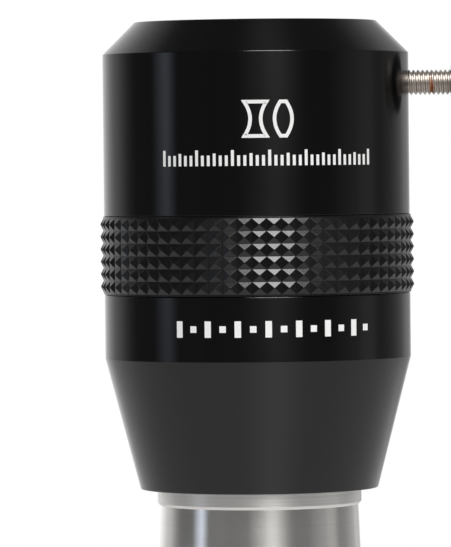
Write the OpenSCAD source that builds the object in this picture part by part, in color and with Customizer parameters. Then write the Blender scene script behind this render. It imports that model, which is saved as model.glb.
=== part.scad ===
// Telecentric 5x barlow lens for 1.25 inch eyepieces and focusers.
// The origin is the centre of the shoulder that meets the focuser, on the optical axis.
// +Z points towards the eyepiece and the thumbscrew points along +X.

/* [Housing] */
// Outer diameter of the body
body_d = 47.6; // [46:0.1:52]
// Height of the top face above the focuser shoulder
body_top = 72.6; // [70:0.1:78]
// Height of the cone at the bottom of the body
cone_h = 20.4; // [18:0.1:24]
// Diameter of the cone at the focuser shoulder
cone_d = 37.0; // [36:0.1:42]
// Size of the chamfer round the top face
top_chamfer = 5.0; // [3:0.1:5.2]

/* [Grip ring] */
// Height of the grip ring's lower edge above the shoulder
grip_z = 30.4; // [29:0.1:32]
// Width of the grip ring
grip_w = 12.1; // [9:0.1:12.3]
// Diameter over the points of the grip
grip_d = 48.8; // [48.6:0.1:54]
// Rows of diamond points round the grip
grip_rows = 6; // [4:1:8]

/* [Eyepiece socket] */
// Bore that takes a 1.25 inch eyepiece barrel
socket_d = 31.85; // [31.8:0.01:32]
// Depth of the socket below the top face
socket_depth = 30.4; // [28:0.1:30.6]
// Inner diameter of the compression ring when it is open
ring_d = 32.2; // [32.1:0.05:32.4]
// Width of the gap in the compression ring
ring_gap = 3.0; // [1.5:0.5:6]

/* [Thumbscrew] */
// Height of the thumbscrew's axis above the shoulder
screw_z = 62.9; // [61:0.1:64]
// Nominal diameter of the thread
screw_d = 4.0; // [3:0.5:5]
// Length of the threaded stud outside its head
stud_l = 9.6; // [8.5:0.1:14]
// How far the screw travels between fully open and clamped
screw_travel = 3.5; // [2:0.1:3.8]
// Diameter of the screw's head
head_d = 9.6; // [8:0.1:14]
// Length of the screw's head
head_l = 8.0; // [5:0.1:12]

/* [Nosepiece] */
// Outer diameter of the 1.25 inch nosepiece
nose_d = 31.75; // [31.6:0.01:31.75]
// Length of the nosepiece below the shoulder
nose_l = 48.0; // [46:0.5:60]
// Height of the full-size collar under the shoulder
collar_h = 2.55; // [2:0.05:4]
// Diameter at the top of the tapered safety undercut
undercut_d = 30.8; // [30:0.1:31.2]
// Distance from the shoulder to where the taper ends
taper_end = 14.5; // [12:0.5:18]
// Nominal diameter of the filter thread
filter_d = 28.5; // [28.3:0.1:28.7]
// Depth of the filter thread
filter_l = 4.5; // [3.5:0.5:5]

/* [Lenses] */
// Diameter of the rear, positive doublet
rear_d = 28.0; // [26:0.5:28]
// Height of the rear doublet's seat above the shoulder
rear_seat_z = 37.6; // [37:0.1:38]
// Diameter of the front, negative doublet
front_d = 20.0; // [18:0.5:20]

/* [Hidden] */
$fn = 96;

eps = 0.02;          // smallest clearance between pieces that are screwed together
thread_gap = 0.05;   // radial clearance of a screwed joint
edge = 0.3;          // small chamfer on turned edges
flat_rim = 0.3;      // ground flat round a concave lens face

body_r = body_d / 2;
grip_r = grip_d / 2;
socket_r = socket_d / 2;
nose_r = nose_d / 2;
screw_r = screw_d / 2;

// Joint between the eyepiece holder and the lower housing
grip_top = grip_z + grip_w;
spigot_r = 21.4;
spigot_z = 24.0;
joint_floor = 23.5;

// The nosepiece's collar stands in a shallow recess of the lower housing
recess_r = 16.2;
recess_h = 0.3;

// Eyepiece socket, stop ring and compression ring
socket_floor = body_top - socket_depth;
stop_recess_r = socket_r + 0.5;
stop_h = 1.6;
cell_top = socket_floor - stop_h;
groove_r = 17.5;
groove_h = 5.4;
ring_h = 5.0;
ring_wall = 0.65;
ring_r = ring_d / 2 + ring_wall;
squeeze = 0.3;       // how far the compression ring is pushed in when clamped

// Rear cell, inside the eyepiece holder's spigot
rear_cell_r = 17.55;
rear_cell_z = 26.0;
rear_r = rear_d / 2;
rear_lip_r = rear_r - 0.8;
rear_crown_t = 7.0;
rear_flint_t = 3.0;
rear_r1 = 61;        // radius of the crown's outer surface
rear_r2 = 45;        // radius of the surfaces that are cemented together
rear_r3 = 130;       // radius of the flint's outer surface

// Front cell, inside the nosepiece
nose_bore_r = 12.8;
cell_bore_r = 13.8;
front_cell_z = -42.2;
front_cell_top = -31.5;
front_r = front_d / 2;
front_lip_r = front_r - 0.8;
front_seat_z = front_cell_z + 1.0;
front_concave_t = 1.8;
front_meniscus_t = 4.0;
front_r1 = 28;
front_r2 = 22;
front_r3 = 60;

// Thumbscrew: its pad touches the squeezed compression ring when clamped
touch_gap = 0.03;
pad_x = ring_r - squeeze + touch_gap + screw_travel;
pad_t = 0.85;
pad_r = 1.5;
stem_r = 0.7;
stem_l = 1.6;
stud_x = pad_x + pad_t + 0.05;
head_x = stud_x + stud_l;
neck_l = 0.5;
stud_r = screw_r - thread_gap;

function sag(curve, half) = curve - sqrt(curve * curve - half * half);

// A turned piece from its outline of [radius, height] points
module turned(outline) {
    rotate_extrude() polygon(outline);
}

// A plain turned ring between two heights
module ring(outer, inner, low, high) {
    turned([[inner, low], [outer, low], [outer, high], [inner, high]]);
}

// Places children along +X at the thumbscrew's height
module on_screw_axis(x) {
    translate([x, 0, screw_z]) rotate([0, 90, 0]) children();
}

// Two slots across a retaining ring, for a pin spanner
module spanner_slots(radius, width, depth, face_z) {
    for (side = [0, 180])
        rotate(side) translate([radius, -width / 2, face_z - depth]) cube([8, width, 2 * depth]);
}

// Three positions of the grub screws, clear of the thumbscrew's side
module at_grub_screws() {
    for (angle = [60, 180, 300])
        rotate(angle) translate([0, 0, 36.4]) rotate([0, 90, 0]) children();
}

// Eyepiece holder with its socket, groove, screw hole and threaded spigot
module eyepiece_holder() {
    color("#1b1b1d") difference() {
        turned([
            [rear_cell_r + thread_gap, spigot_z], [spigot_r - edge, spigot_z],
            [spigot_r, spigot_z + edge], [spigot_r, grip_top], [body_r - edge, grip_top],
            [body_r, grip_top + edge], [body_r, body_top - top_chamfer],
            [body_r - top_chamfer, body_top], [socket_r + 0.6, body_top],
            [socket_r, body_top - 0.6], [socket_r, screw_z + groove_h / 2],
            [groove_r, screw_z + groove_h / 2], [groove_r, screw_z - groove_h / 2],
            [socket_r, screw_z - groove_h / 2], [socket_r, socket_floor],
            [stop_recess_r, socket_floor], [stop_recess_r, cell_top],
            [rear_cell_r + thread_gap, cell_top]
        ]);
        on_screw_axis(groove_r - 1) cylinder(r = screw_r, h = body_r - groove_r + 3);
        at_grub_screws() cylinder(r = 1.55, h = spigot_r + 1);
    }
}

// Ring at the bottom of the socket that keeps the eyepiece off the lens
module eyepiece_stop_ring() {
    color("#202022") turned([
        [stop_recess_r - 0.2, cell_top], [stop_recess_r - 0.2, socket_floor - eps],
        [rear_r - 0.1, socket_floor - eps], [rear_r + 0.3, cell_top]
    ]);
}

// Split brass ring that grips the eyepiece barrel
module compression_ring() {
    color("#b8924a") difference() {
        ring(ring_r, ring_d / 2, screw_z - ring_h / 2, screw_z + ring_h / 2);
        translate([-ring_r - 1, -ring_gap / 2, screw_z - ring_h])
            cube([4, ring_gap, 2 * ring_h]);
    }
}

// Threaded stud of the thumbscrew, with a blind hole for the pad's stem
module thumbscrew_stud() {
    color("#c9c9c6") difference() {
        on_screw_axis(stud_x) cylinder(r = stud_r, h = stud_l + 5);
        on_screw_axis(stud_x - 0.5) cylinder(r = stem_r + thread_gap, h = stem_l + 0.7);
    }
}

// Knurled head pressed onto the stud
module thumbscrew_head() {
    head_r = head_d / 2;
    color("#c4c4c2") on_screw_axis(head_x) turned([
        [stud_r + eps, 0], [3.0, 0], [3.0, neck_l], [head_r - 0.5, neck_l],
        [head_r, neck_l + 0.5], [head_r, head_l - 0.6], [head_r - 0.6, head_l],
        [0, head_l], [0, 5 + eps], [stud_r + eps, 5 + eps]
    ]);
}

// Small pad in the screw's tip: it presses the ring and doesn't turn against it
module thumbscrew_pad() {
    color("#b8924a") union() {
        on_screw_axis(pad_x) cylinder(r = pad_r, h = pad_t);
        on_screw_axis(pad_x + pad_t - 0.1) cylinder(r = stem_r, h = stem_l);
    }
}

// Grip ring held between the holder and the lower housing, grooved round its rim
module grip_ring() {
    row = (grip_w - 0.5) / grip_rows;
    root_r = grip_r - 0.45;
    color("#161617") turned(concat(
        [[spigot_r + thread_gap, grip_z], [root_r, grip_z]],
        [for (i = [0 : grip_rows - 1], half = [0, 1])
            [half == 0 ? root_r : grip_r, grip_z + 0.25 + (i + half / 2) * row]],
        [[root_r, grip_top - 0.25], [root_r, grip_top], [spigot_r + thread_gap, grip_top]]
    ));
}

// Grub screws under the grip ring that lock the rear cell
module cell_grub_screws() {
    color("#2a2a2c") at_grub_screws()
        translate([0, 0, rear_cell_r + eps]) cylinder(r = 1.5, h = 3.0);
}

// Lower housing: short cylinder, long cone and the focuser shoulder
module lower_housing() {
    color("#1b1b1d") turned([
        [15.05, recess_h], [recess_r, recess_h], [recess_r, 0],
        [cone_d / 2 - 0.4, 0], [cone_d / 2, 0.4], [body_r, cone_h],
        [body_r, grip_z - edge], [body_r - edge, grip_z], [spigot_r + thread_gap, grip_z],
        [spigot_r + thread_gap, joint_floor], [17.05, joint_floor], [17.05, 11.0],
        [15.05, 11.0]
    ]);
}

// Nosepiece: threaded spigot, collar, tapered undercut, straight end and filter thread
module nosepiece_barrel() {
    bevel = 0.4;
    color("#c8c9cb") turned([
        [nose_bore_r, 10.5], [nose_bore_r, front_cell_top], [cell_bore_r, front_cell_top],
        [cell_bore_r, -nose_l + filter_l], [filter_d / 2, -nose_l + filter_l],
        [filter_d / 2, -nose_l + 0.4], [filter_d / 2 + 0.4, -nose_l],
        [nose_r - 0.6, -nose_l], [nose_r, -nose_l + 0.6], [nose_r, -taper_end],
        [undercut_d / 2, -collar_h], [nose_r - bevel, -collar_h],
        [nose_r, -collar_h + bevel], [nose_r, recess_h], [15.0, recess_h], [15.0, 10.5]
    ]);
}

// Glare stop pressed into the nosepiece
module nosepiece_stop_ring() {
    color("#111112") turned([
        [nose_bore_r - eps, -8.0], [nose_bore_r - eps, -6.0], [11.6, -6.0], [11.2, -7.2],
        [8.6, -7.2], [8.6, -7.6], [9.0, -8.0]
    ]);
}

// Glare stop on the step inside the lower housing
module housing_stop_ring() {
    color("#111112") turned([
        [17.0, 11.02], [17.0, 13.5], [15.6, 13.5], [15.2, 12.0], [11.8, 12.0],
        [11.8, 11.5], [12.3, 11.02]
    ]);
}

// Cell of the rear doublet, screwed up into the spigot against the stop ring
module rear_cell() {
    color("#1d1d1f") turned([
        [rear_r + thread_gap, rear_cell_z], [rear_cell_r, rear_cell_z],
        [rear_cell_r, cell_top - eps], [rear_r + 0.5, cell_top - eps],
        [rear_lip_r, rear_seat_z + 1.0], [rear_lip_r, rear_seat_z],
        [rear_r + thread_gap, rear_seat_z]
    ]);
}

// Places of the rear doublet's vertices on the optical axis: it bears on its lip's inner edge
rear_top_v = rear_seat_z + sag(rear_r1, rear_lip_r);
rear_mid_v = rear_top_v - rear_crown_t;
rear_low_v = rear_mid_v - rear_flint_t;

// Biconvex crown of the rear doublet
module rear_crown_lens() {
    color("#cfe6dc80") intersection() {
        translate([0, 0, rear_low_v]) cylinder(r = rear_r, h = 20);
        translate([0, 0, rear_top_v - rear_r1]) sphere(r = rear_r1);
        translate([0, 0, rear_mid_v + rear_r2]) sphere(r = rear_r2);
    }
}

// Meniscus flint of the rear doublet
module rear_flint_lens() {
    color("#c9dfe680") difference() {
        intersection() {
            translate([0, 0, rear_low_v - 1])
                cylinder(r = rear_r, h = rear_flint_t + 1 + sag(rear_r2, rear_r - flat_rim));
            translate([0, 0, rear_low_v + rear_r3]) sphere(r = rear_r3);
        }
        translate([0, 0, rear_mid_v + rear_r2]) sphere(r = rear_r2);
    }
}

// Threaded ring under the rear doublet
module rear_retaining_ring() {
    inner = rear_r - 1.6;
    flint_edge_z = rear_low_v + sag(rear_r3, inner);
    color("#1d1d1f") difference() {
        ring(rear_r, inner, flint_edge_z - 2.2, flint_edge_z);
        spanner_slots(inner - 0.1, 1.2, 0.8, flint_edge_z - 2.2);
    }
}

// Cell of the front doublet, inside the nosepiece
module front_cell() {
    color("#1d1d1f") turned([
        [front_lip_r, front_cell_z], [cell_bore_r - thread_gap, front_cell_z],
        [cell_bore_r - thread_gap, front_cell_top - eps],
        [front_r + thread_gap, front_cell_top - eps], [front_r + thread_gap, front_seat_z],
        [front_lip_r, front_seat_z]
    ]);
}

// Slotted ring that locks the front cell in the nosepiece
module front_lock_ring() {
    color("#1d1d1f") difference() {
        ring(cell_bore_r - thread_gap, 10.6, front_cell_z - 1.3, front_cell_z);
        spanner_slots(10.5, 1.2, 0.7, front_cell_z - 1.3);
    }
}

// Places of the front doublet's vertices on the optical axis
front_low_v = front_seat_z + sag(front_r1, front_r - flat_rim);
front_mid_v = front_low_v + front_concave_t;
front_top_v = front_mid_v + front_meniscus_t;

// Biconcave lens of the front doublet
module front_biconcave_lens() {
    clear_r = front_r - flat_rim;
    lens_h = front_concave_t + sag(front_r1, clear_r) + sag(front_r2, clear_r);
    color("#cfe6dc80") difference() {
        translate([0, 0, front_seat_z]) cylinder(r = front_r, h = lens_h);
        translate([0, 0, front_low_v - front_r1]) sphere(r = front_r1);
        translate([0, 0, front_mid_v + front_r2]) sphere(r = front_r2);
    }
}

// Meniscus lens of the front doublet
module front_meniscus_lens() {
    color("#c9dfe680") difference() {
        intersection() {
            translate([0, 0, front_mid_v])
                cylinder(r = front_r, h = front_meniscus_t + sag(front_r3, front_r - flat_rim));
            translate([0, 0, front_mid_v + front_r2]) sphere(r = front_r2);
        }
        translate([0, 0, front_top_v + front_r3]) sphere(r = front_r3);
    }
}

// Threaded ring above the front doublet
module front_retaining_ring() {
    meniscus_edge_z = front_top_v + sag(front_r3, front_r - flat_rim);
    color("#1d1d1f") difference() {
        ring(front_r, front_r - 1.2, meniscus_edge_z, front_cell_top - 0.3);
        spanner_slots(front_r - 1.3, 1.0, 0.6, front_cell_top - 0.3);
    }
}

eyepiece_holder();
eyepiece_stop_ring();
compression_ring();
thumbscrew_stud();
thumbscrew_head();
thumbscrew_pad();
grip_ring();
cell_grub_screws();
lower_housing();
nosepiece_barrel();
nosepiece_stop_ring();
housing_stop_ring();
rear_cell();
rear_crown_lens();
rear_flint_lens();
rear_retaining_ring();
front_cell();
front_lock_ring();
front_biconcave_lens();
front_meniscus_lens();
front_retaining_ring();
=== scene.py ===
"""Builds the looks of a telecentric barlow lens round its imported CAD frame.

Outlines are in millimetres, as corners of (radius, height, rounding, curve), and every mesh
is made in metres. +Z points to the eyepiece, and +X along the thumbscrew.
"""

from math import asin, atan2, ceil, cos, pi, radians, sin, sqrt, tan

import bmesh
import bpy
import numpy as np
from bpy.props import FloatProperty, FloatVectorProperty, IntProperty, PointerProperty
from mathutils import Matrix, Vector


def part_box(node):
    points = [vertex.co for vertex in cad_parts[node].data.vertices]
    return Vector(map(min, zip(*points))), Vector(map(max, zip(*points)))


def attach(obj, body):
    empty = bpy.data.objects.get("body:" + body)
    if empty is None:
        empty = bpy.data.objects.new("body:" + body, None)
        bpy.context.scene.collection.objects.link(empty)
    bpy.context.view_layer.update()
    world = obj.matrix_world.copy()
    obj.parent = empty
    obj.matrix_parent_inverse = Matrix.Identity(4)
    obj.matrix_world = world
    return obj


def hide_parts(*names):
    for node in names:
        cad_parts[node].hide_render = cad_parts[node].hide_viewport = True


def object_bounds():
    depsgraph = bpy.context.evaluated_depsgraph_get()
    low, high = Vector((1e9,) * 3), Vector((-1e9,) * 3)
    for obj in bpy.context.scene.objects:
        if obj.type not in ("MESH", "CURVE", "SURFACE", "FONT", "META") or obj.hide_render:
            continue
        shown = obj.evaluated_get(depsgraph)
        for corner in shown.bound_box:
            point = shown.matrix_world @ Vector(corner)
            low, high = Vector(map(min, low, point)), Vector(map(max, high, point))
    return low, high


bl_info = {
    "name": "Barlow lens",
    "version": (1, 0, 0),
    "blender": (4, 5, 0),
    "location": "View3D > Sidebar > Barlow lens",
    "description": "Builds a telecentric barlow lens, piece by piece, round its CAD frame",
    "category": "Add Mesh",
}

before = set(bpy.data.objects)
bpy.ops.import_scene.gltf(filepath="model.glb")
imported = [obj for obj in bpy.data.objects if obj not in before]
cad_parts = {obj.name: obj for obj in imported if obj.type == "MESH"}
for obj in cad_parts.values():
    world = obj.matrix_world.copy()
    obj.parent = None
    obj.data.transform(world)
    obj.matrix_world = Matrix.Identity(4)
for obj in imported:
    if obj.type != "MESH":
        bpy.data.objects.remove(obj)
CAD_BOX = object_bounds()

MM = 0.001
SEGMENTS = 288


def low(node):
    """Lowest corner of a CAD node, in millimetres."""
    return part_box(node)[0] / MM


def high(node):
    """Highest corner of a CAD node, in millimetres."""
    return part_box(node)[1] / MM


# Places that several pieces share
BODY_R = high("eyepiece_holder").y
BODY_TOP = high("eyepiece_holder").z
SPIGOT_LOW = low("eyepiece_holder").z
SPIGOT_R = 21.4
GRIP_LOW = low("grip_ring").z
GRIP_TOP = high("grip_ring").z
STOP_LOW = low("eyepiece_stop_ring").z
STOP_TOP = high("eyepiece_stop_ring").z
SOCKET_R = 15.925
CELL_R = high("rear_cell").y
SCREW_Z = (low("thumbscrew_head").z + high("thumbscrew_head").z) / 2
NOSE_R = high("nosepiece_barrel").y
NOSE_LOW = low("nosepiece_barrel").z


# ---------------------------------------------------------------- sizes and colours


class BarlowSizes(bpy.types.PropertyGroup):
    """Sizes of what the CAD frame leaves plain."""

    edge_round: FloatProperty(
        name="Edge rounding", description="Radius of the turned edges",
        default=0.22 * MM, min=0.05 * MM, max=0.3 * MM, unit="LENGTH", precision=5)
    knurl_columns: IntProperty(
        name="Knurl columns", description="Diamond points round the grip ring",
        default=67, min=40, max=90)
    knurl_rows: IntProperty(
        name="Knurl rows", description="Diamond points across the grip ring",
        default=6, min=4, max=8)
    knurl_depth: FloatProperty(
        name="Knurl depth", description="Height of a diamond point above its groove",
        default=0.45 * MM, min=0.2 * MM, max=0.5 * MM, unit="LENGTH", precision=5)
    knurl_turn: FloatProperty(
        name="Knurl turn", description="Where the first column of points stands",
        default=radians(0.75), min=-pi, max=pi, unit="ROTATION")
    screw_pitch: FloatProperty(
        name="Thumbscrew pitch", description="Pitch of the thumbscrew's M4 thread",
        default=0.7 * MM, min=0.5 * MM, max=0.8 * MM, unit="LENGTH", precision=5)
    filter_pitch: FloatProperty(
        name="Filter thread pitch", description="Pitch of the filter thread",
        default=0.6 * MM, min=0.5 * MM, max=0.75 * MM, unit="LENGTH", precision=5)
    print_lift: FloatProperty(
        name="Print thickness", description="How far the white print stands off the body",
        default=0.012 * MM, min=0.005 * MM, max=0.05 * MM, unit="LENGTH", precision=6)


class BarlowColours(bpy.types.PropertyGroup):
    """Colours of the finishes."""

    gloss_black: FloatVectorProperty(
        name="Gloss black", description="Anodising of the two housings", subtype="COLOR",
        size=3, min=0, max=1, default=(0.0004, 0.0004, 0.0005))
    grip_black: FloatVectorProperty(
        name="Grip black", description="Anodising of the grip ring", subtype="COLOR",
        size=3, min=0, max=1, default=(0.0012, 0.0012, 0.0014))
    matt_black: FloatVectorProperty(
        name="Matt black", description="Finish of the inner rings and cells",
        subtype="COLOR", size=3, min=0, max=1, default=(0.008, 0.008, 0.008))
    aluminium: FloatVectorProperty(
        name="Aluminium", description="Bright turned nosepiece", subtype="COLOR",
        size=3, min=0, max=1, default=(0.91, 0.895, 0.87))
    stainless: FloatVectorProperty(
        name="Stainless steel", description="Thumbscrew", subtype="COLOR",
        size=3, min=0, max=1, default=(0.60, 0.55, 0.505))
    rust: FloatVectorProperty(
        name="Rust", description="Rust spot in the thumbscrew's thread", subtype="COLOR",
        size=3, min=0, max=1, default=(0.36, 0.11, 0.02))
    brass: FloatVectorProperty(
        name="Brass", description="Compression ring and screw pad", subtype="COLOR",
        size=3, min=0, max=1, default=(0.78, 0.56, 0.25))
    white_print: FloatVectorProperty(
        name="White print", description="Marks on the body", subtype="COLOR",
        size=3, min=0, max=1, default=(0.90, 0.90, 0.89))


class BarlowStudio(bpy.types.PropertyGroup):
    """Camera and light."""

    distance: FloatProperty(
        name="Camera distance", description="From the optical axis to the camera",
        default=0.851, min=0.5, max=2, unit="LENGTH")
    height: FloatProperty(
        name="Camera height", description="Above the focuser shoulder",
        default=0.051, min=0, max=0.2, unit="LENGTH")
    heading: FloatProperty(
        name="Camera heading", description="Turn of the camera to its left",
        default=radians(0.335), min=-0.1, max=0.1, unit="ROTATION")
    pitch: FloatProperty(
        name="Camera pitch", description="Tilt of the camera, below zero for down",
        default=radians(-1.183), min=-0.5, max=0.5, unit="ROTATION")
    roll: FloatProperty(
        name="Camera roll", description="Roll of the camera about its view",
        default=radians(-0.575), min=-0.1, max=0.1, unit="ROTATION")
    lens: FloatProperty(
        name="Focal length", description="For a sensor of 36 mm, in millimetres",
        default=359.5, min=50, max=500)
    key_strength: FloatProperty(
        name="Key light", description="Strength of the large soft light from the front",
        default=3.0, min=0, max=20)
    key_azimuth: FloatProperty(
        name="Key azimuth", description="Turn of the key light to the camera's right",
        default=radians(14), min=-pi, max=pi, unit="ROTATION")
    key_elevation: FloatProperty(
        name="Key elevation", description="Height of the key light",
        default=radians(51), min=0, max=pi / 2, unit="ROTATION")
    key_spread: FloatProperty(
        name="Key spread", description="Angle that the key light fills",
        default=radians(30), min=0, max=pi / 2, unit="ROTATION")
    floor_radius: FloatProperty(
        name="Floor radius", description="Radius of the pale floor",
        default=0.3, min=0.1, max=0.5, unit="LENGTH")


# ---------------------------------------------------------------- turned shapes


def arc_edges(centre, start, end, bulge, steps):
    """Edges along the shorter arc about centre, with normals away from it or towards it."""
    first = atan2(start.y - centre.y, start.x - centre.x)
    last = atan2(end.y - centre.y, end.x - centre.x)
    sweep = (last - first + pi) % (2 * pi) - pi
    radius = (start - centre).length
    spokes = [Vector((cos(first + sweep * k / steps), sin(first + sweep * k / steps)))
              for k in range(steps + 1)]
    points = [centre + spoke * radius for spoke in spokes]
    return [(points[k], points[k + 1], spokes[k] * bulge, spokes[k + 1] * bulge)
            for k in range(steps)]


def outline_edges(corners, steps=5, lens_steps=20):
    """A closed outline's edges, as (start, end, normal at start, normal at end).

    A corner is (radius, height, rounding, curve): rounding is the radius of the corner, and
    curve that of the line to the next corner, above zero where it bulges outwards. The
    corners run anticlockwise, so that the outside is on the right."""
    corners = [tuple(corner) + (0,) * (4 - len(corner)) for corner in corners]
    count = len(corners)
    points = [Vector(corner[:2]) for corner in corners]
    arcs = []
    for i in range(count):
        here, size = points[i], corners[i][2]
        before, after = points[i - 1] - here, points[(i + 1) % count] - here
        half = before.angle(after, pi) / 2
        if size == 0 or half > pi / 2 - 0.01:
            arcs.append((here, here, []))
            continue
        reach = min(size / tan(half), 0.49 * before.length, 0.49 * after.length)
        size = reach * tan(half)
        before.normalize()
        after.normalize()
        centre = here + (before + after).normalized() * size / sin(half)
        start, end = here + before * reach, here + after * reach
        bulge = -1 if before.x * after.y - before.y * after.x > 0 else 1
        arcs.append((start, end, arc_edges(centre, start, end, bulge, steps)))
    edges = []
    for i in range(count):
        edges += arcs[i][2]
        start, end = arcs[i][1], arcs[(i + 1) % count][0]
        chord = end - start
        flat = Vector((chord.y, -chord.x)).normalized()
        curve = corners[i][3]
        if curve == 0:
            edges.append((start, end, flat, flat))
        else:
            depth = sqrt(curve ** 2 - chord.length_squared / 4)
            centre = (start + end) / 2 - flat * (depth if curve > 0 else -depth)
            edges += arc_edges(centre, start, end, 1 if curve > 0 else -1, lens_steps)
    return edges


def shape_normals(mesh, edges):
    """Gives each face corner the exact normal of the turned outline that it lies on."""
    start = np.array([e[0] for e in edges])
    along = np.array([e[1] for e in edges]) - start
    length2 = (along ** 2).sum(1).clip(1e-12)
    normal_a, normal_b = np.array([e[2] for e in edges]), np.array([e[3] for e in edges])
    points = np.array([v.co for v in mesh.vertices]) / MM
    azimuth = np.arctan2(points[:, 1], points[:, 0])
    plan = np.stack([np.hypot(points[:, 0], points[:, 1]), points[:, 2]], 1)
    corner = np.array([loop.vertex_index for loop in mesh.loops])
    first = np.array([face.loop_start for face in mesh.polygons])
    total = np.array([face.loop_total for face in mesh.polygons])
    outward = np.array([face.normal for face in mesh.polygons])
    centre = np.array([face.center for face in mesh.polygons])
    facing = np.arctan2(centre[:, 1], centre[:, 0])
    flat = np.stack([outward[:, 0] * np.cos(facing) + outward[:, 1] * np.sin(facing),
                     outward[:, 2]], 1)
    middle = np.add.reduceat(plan[corner], first, axis=0) / total[:, None]
    t = (((middle[:, None] - start) * along).sum(2) / length2).clip(0, 1)
    gap = np.linalg.norm(start + along * t[:, :, None] - middle[:, None], axis=2)
    agree = flat @ ((normal_a + normal_b) / 2).T
    best = (gap + 0.05 * (1 - agree)).argmin(1)
    rows = np.arange(len(best))
    on_outline = (gap[rows, best] < 0.03) & (agree[rows, best] > 0.6)
    edge = np.repeat(best, total)
    t = (((plan[corner] - start[edge]) * along[edge]).sum(1) / length2[edge]).clip(0, 1)
    mixed = normal_a[edge] * (1 - t[:, None]) + normal_b[edge] * t[:, None]
    exact = np.stack([mixed[:, 0] * np.cos(azimuth[corner]),
                      mixed[:, 0] * np.sin(azimuth[corner]), mixed[:, 1]], 1)
    keep = np.repeat(on_outline, total)[:, None]
    normals = np.where(keep, exact, np.repeat(outward, total, axis=0))
    mesh.polygons.foreach_set("use_smooth", [True] * len(mesh.polygons))
    mesh.normals_split_custom_set([tuple(n) for n in normals])


def new_piece(name, verts, faces, sharp_angle=None):
    """A mesh object from points in metres, with its doubles merged."""
    mesh = bpy.data.meshes.new(name)
    mesh.from_pydata([tuple(v) for v in verts], [], faces)
    work = bmesh.new()
    work.from_mesh(mesh)
    bmesh.ops.remove_doubles(work, verts=work.verts, dist=1e-7)
    bmesh.ops.dissolve_degenerate(work, edges=work.edges, dist=1e-8)
    bmesh.ops.recalc_face_normals(work, faces=work.faces)
    work.to_mesh(mesh)
    work.free()
    if sharp_angle is not None:
        mesh.polygons.foreach_set("use_smooth", [True] * len(mesh.polygons))
        mesh.set_sharp_from_angle(angle=sharp_angle)
    piece = bpy.data.objects.new(name, mesh)
    bpy.context.scene.collection.objects.link(piece)
    return piece


def turned(name, corners, cutters=(), gap=0.0, segments=SEGMENTS):
    """A solid of revolution about the optical axis, less its cutters.

    gap is the angle left open about -X, as in a split ring."""
    edges = outline_edges(corners)
    rows = len(edges)
    columns = segments + 1 if gap else segments
    verts = []
    for k in range(columns):
        a = pi + gap / 2 + k * (2 * pi - gap) / segments
        verts += [(e[0].x * MM * cos(a), e[0].x * MM * sin(a), e[0].y * MM) for e in edges]
    faces = []
    for k in range(segments):
        here, there = k * rows, (k + 1) % columns * rows
        for i in range(rows):
            j = (i + 1) % rows
            if edges[i][0].x > 1e-9 or edges[j][0].x > 1e-9:
                faces.append((here + i, there + i, there + j, here + j))
    if gap:
        faces.append(tuple(range(rows)))
        faces.append(tuple(range(segments * rows, segments * rows + rows)))
    piece = new_piece(name, verts, faces)
    for cutter in cutters:
        cut(piece, cutter)
    shape_normals(piece.data, edges)
    return piece


def cut(piece, cutter):
    """Cuts a solid out of a piece and removes the solid."""
    modifier = piece.modifiers.new("Cut", "BOOLEAN")
    modifier.operation = "DIFFERENCE"
    modifier.solver = "EXACT"
    modifier.object = cutter
    bpy.context.view_layer.update()
    shape = piece.evaluated_get(bpy.context.evaluated_depsgraph_get())
    mesh = bpy.data.meshes.new_from_object(shape)
    piece.modifiers.clear()
    piece.data = mesh
    bpy.data.objects.remove(cutter)


def lay_along_x(piece, height):
    """Lays a piece made along +Z down along +X, at a height in millimetres."""
    turn = Matrix.Rotation(pi / 2, 4, "Y")
    piece.data.transform(Matrix.Translation((0, 0, height * MM)) @ turn)
    return piece


def drill(corners, height, turn=0.0):
    """A turned cutter that points outwards at a height, turned about the optical axis."""
    tool = lay_along_x(turned("drill", corners, segments=64), height)
    tool.data.transform(Matrix.Rotation(turn, 4, "Z"))
    return tool


# Past the rim of every slotted ring
SLOT_REACH = 20


def slot_bar(radius, width, depth, face_z):
    """A bar right across a ring's face, which cuts its two spanner slots."""
    half = Vector((radius, width / 2, depth)) * MM
    corners = [(x * half.x, y * half.y, face_z * MM + z * half.z)
               for x in (-1, 1) for y in (-1, 1) for z in (-1, 1)]
    faces = [(0, 1, 3, 2), (4, 6, 7, 5), (0, 4, 5, 1), (2, 3, 7, 6), (0, 2, 6, 4), (1, 5, 7, 3)]
    return new_piece("slot bar", corners, faces)


# Depth of each thread as a share of its pitch, and the angle of an edge drawn sharp
SCREW_THREAD_DEPTH = 0.52
FILTER_THREAD_DEPTH = 0.54
THREAD_SHARP = radians(25)


def screw_thread(name, start, end, crest_r, root_r, pitch, core_r, steps=96):
    """A right-handed thread about +Z, with its rows of points along the helix.

    core_r is the axis, 0, for a bolt, and the sleeve's back for a thread in a hole. The
    thread runs out at both ends, to its root on a bolt and to its crest's back in a hole."""
    profile = [(0.0, crest_r), (0.14, crest_r), (0.5, root_r), (0.64, root_r)]
    rows = [(turn + part, radius)
            for turn in range(ceil((end - start) / pitch) + 2) for part, radius in profile]
    end_r = min(crest_r, root_r) if core_r == 0 else max(crest_r, root_r)
    verts = []
    for k in range(steps + 1):
        a = 2 * pi * k / steps
        column = [(core_r, start)]
        for turn, radius in rows:
            z = start + (turn - 1.25 + k / steps) * pitch
            column.append((radius if start < z < end else end_r, min(max(z, start), end)))
        column.append((core_r, end))
        verts += [(r * MM * cos(a), r * MM * sin(a), z * MM) for r, z in column]
    total = len(rows) + 2
    faces = [(k * total + i, (k + 1) * total + i, (k + 1) * total + (i + 1) % total,
              k * total + (i + 1) % total)
             for k in range(steps) for i in range(total if core_r else total - 1)]
    return new_piece(name, verts, faces, THREAD_SHARP)


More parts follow.
